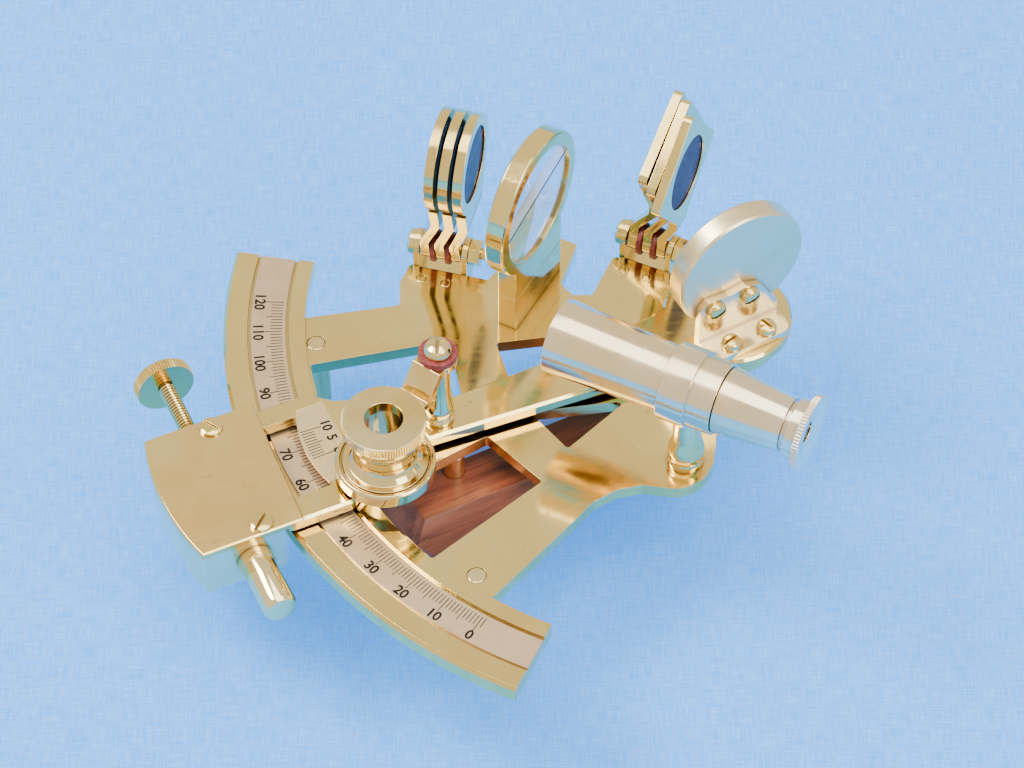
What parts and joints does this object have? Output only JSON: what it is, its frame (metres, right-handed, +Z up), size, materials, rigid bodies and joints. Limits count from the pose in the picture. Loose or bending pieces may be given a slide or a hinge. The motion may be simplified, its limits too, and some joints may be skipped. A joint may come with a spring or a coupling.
{
  "type": "nautical sextant",
  "caption": "Polished brass nautical sextant with a swinging index arm, folding shades, mirrors, telescope, magnifier and rosewood grip.",
  "frame": {"origin": "on the ground plane at the centre of the foot of the leg under the index arm's pivot axis", "axes": "+Z up along the index arm's pivot axis, square to the scale; -X from the pivot to the middle of the scale; +Y towards the horizon mirror side, -Y towards the telescope side"},
  "size_m": [0.1712, 0.1559, 0.0921],
  "materials": {
    "polished_brass": "mirror polished",
    "scale_brass": "fine brushed, engraved",
    "rosewood": "oiled and polished",
    "red_fibre": "satin vulcanised fibre",
    "shade_glass": "polished tinted",
    "clear_glass": "polished",
    "half_silvered_glass": "half silvered",
    "index_mirror": "silvered"
  },
  "bodies": {
    "frame_body": {"frame": "polished_brass", "arc_scale": "scale_brass", "limb_legs": "polished_brass", "pivot_leg": "polished_brass", "pivot_stud": "polished_brass", "handle_grip": "rosewood", "handle_posts": "polished_brass", "handle_screws": "polished_brass", "horizon_mirror_frame": "polished_brass", "horizon_mirror_glass": "half_silvered_glass", "horizon_mirror_foot": "polished_brass", "horizon_shade_bracket": "polished_brass", "horizon_shade_bolt": "polished_brass", "horizon_shade_nut": "polished_brass", "index_shade_bracket": "polished_brass", "index_shade_bolt": "polished_brass", "index_shade_nut": "polished_brass", "bracket_rivets": "polished_brass", "shade_washers": "red_fibre", "telescope_post": "polished_brass", "telescope_barrel": "polished_brass", "telescope_objective_lens": "clear_glass"},
    "index_arm_body": {"index_arm": "polished_brass", "vernier_plate": "scale_brass", "index_mirror_case": "polished_brass", "index_mirror_glass": "index_mirror", "index_mirror_bracket": "polished_brass", "index_mirror_screws": "polished_brass", "clamp_block": "polished_brass", "clamp_cover": "polished_brass", "clamp_cover_screws": "polished_brass", "clamp_cylinder": "polished_brass", "magnifier_post": "polished_brass", "magnifier_washer": "red_fibre", "magnifier_cap_screw": "polished_brass"},
    "tangent_screw_body": {"tangent_screw": "polished_brass"},
    "clamp_shoe_body": {"clamp_shoe": "polished_brass"},
    "magnifier_body_group": {"magnifier_arm": "polished_brass", "magnifier_body": "polished_brass", "magnifier_eye_ring": "polished_brass", "magnifier_lens": "clear_glass"},
    "draw_tube_body": {"telescope_draw_tube": "polished_brass", "telescope_eyepiece_cap": "polished_brass", "telescope_eye_lens": "clear_glass"},
    "horizon_shade_a": {"horizon_shade_frame_a": "polished_brass", "horizon_shade_glass_a": "shade_glass"},
    "horizon_shade_b": {"horizon_shade_frame_b": "polished_brass", "horizon_shade_glass_b": "shade_glass"},
    "horizon_shade_c": {"horizon_shade_frame_c": "polished_brass", "horizon_shade_glass_c": "shade_glass"},
    "index_shade_a": {"index_shade_frame_a": "polished_brass", "index_shade_glass_a": "shade_glass"},
    "index_shade_b": {"index_shade_frame_b": "polished_brass", "index_shade_glass_b": "shade_glass"},
    "index_shade_c": {"index_shade_frame_c": "polished_brass", "index_shade_glass_c": "shade_glass"}
  },
  "joints": [
    {"name": "index_arm_swing", "type": "hinge", "parent": "frame_body", "child": "index_arm_body", "pos_m": [0, 0, 0.0402], "axis": [0, 0, 1], "range_deg": [-15, 32.5]},
    {"name": "tangent_screw_turn", "type": "hinge", "parent": "index_arm_body", "child": "tangent_screw_body", "pos_m": [-0.13637, 0.00595, 0.0353], "axis": [0.0436, 0.999, 0], "range_deg": [-720, 720]},
    {"name": "clamp_shoe_travel", "type": "slide", "parent": "index_arm_body", "child": "clamp_shoe_body", "axis": [0.0436, 0.999, 0], "range_m": [-0.002, 0.002]},
    {"name": "magnifier_swing", "type": "hinge", "parent": "index_arm_body", "child": "magnifier_body_group", "pos_m": [-0.08004, 0.00089, 0.063], "axis": [0, 0, 1], "range_deg": [-75, 75]},
    {"name": "eyepiece_focus", "type": "slide", "parent": "frame_body", "child": "draw_tube_body", "axis": [0.5793, -0.8151, 0], "range_m": [0, 0.01]},
    {"name": "horizon_shade_a_fold", "type": "hinge", "parent": "frame_body", "child": "horizon_shade_a", "pos_m": [-0.0536, 0.051, 0.042], "axis": [-0.7431, 0.6691, 0], "range_deg": [0, 95]},
    {"name": "horizon_shade_b_fold", "type": "hinge", "parent": "frame_body", "child": "horizon_shade_b", "pos_m": [-0.0536, 0.051, 0.042], "axis": [-0.7431, 0.6691, 0], "range_deg": [0, 95]},
    {"name": "horizon_shade_c_fold", "type": "hinge", "parent": "frame_body", "child": "horizon_shade_c", "pos_m": [-0.0536, 0.051, 0.042], "axis": [-0.7431, 0.6691, 0], "range_deg": [0, 95]},
    {"name": "index_shade_a_fold", "type": "hinge", "parent": "frame_body", "child": "index_shade_a", "pos_m": [-0.0051, 0.0281, 0.042], "axis": [-0.6088, 0.7934, 0], "range_deg": [-18, 77]},
    {"name": "index_shade_b_fold", "type": "hinge", "parent": "frame_body", "child": "index_shade_b", "pos_m": [-0.0051, 0.0281, 0.042], "axis": [-0.6088, 0.7934, 0], "range_deg": [-14, 81]},
    {"name": "index_shade_c_fold", "type": "hinge", "parent": "frame_body", "child": "index_shade_c", "pos_m": [-0.0051, 0.0281, 0.042], "axis": [-0.6088, 0.7934, 0], "range_deg": [-6, 89]}
  ],
  "couplings": [
    {"joint": "clamp_shoe_travel", "follows": "tangent_screw_turn", "m_per_rad": 0.00014324}
  ]
}
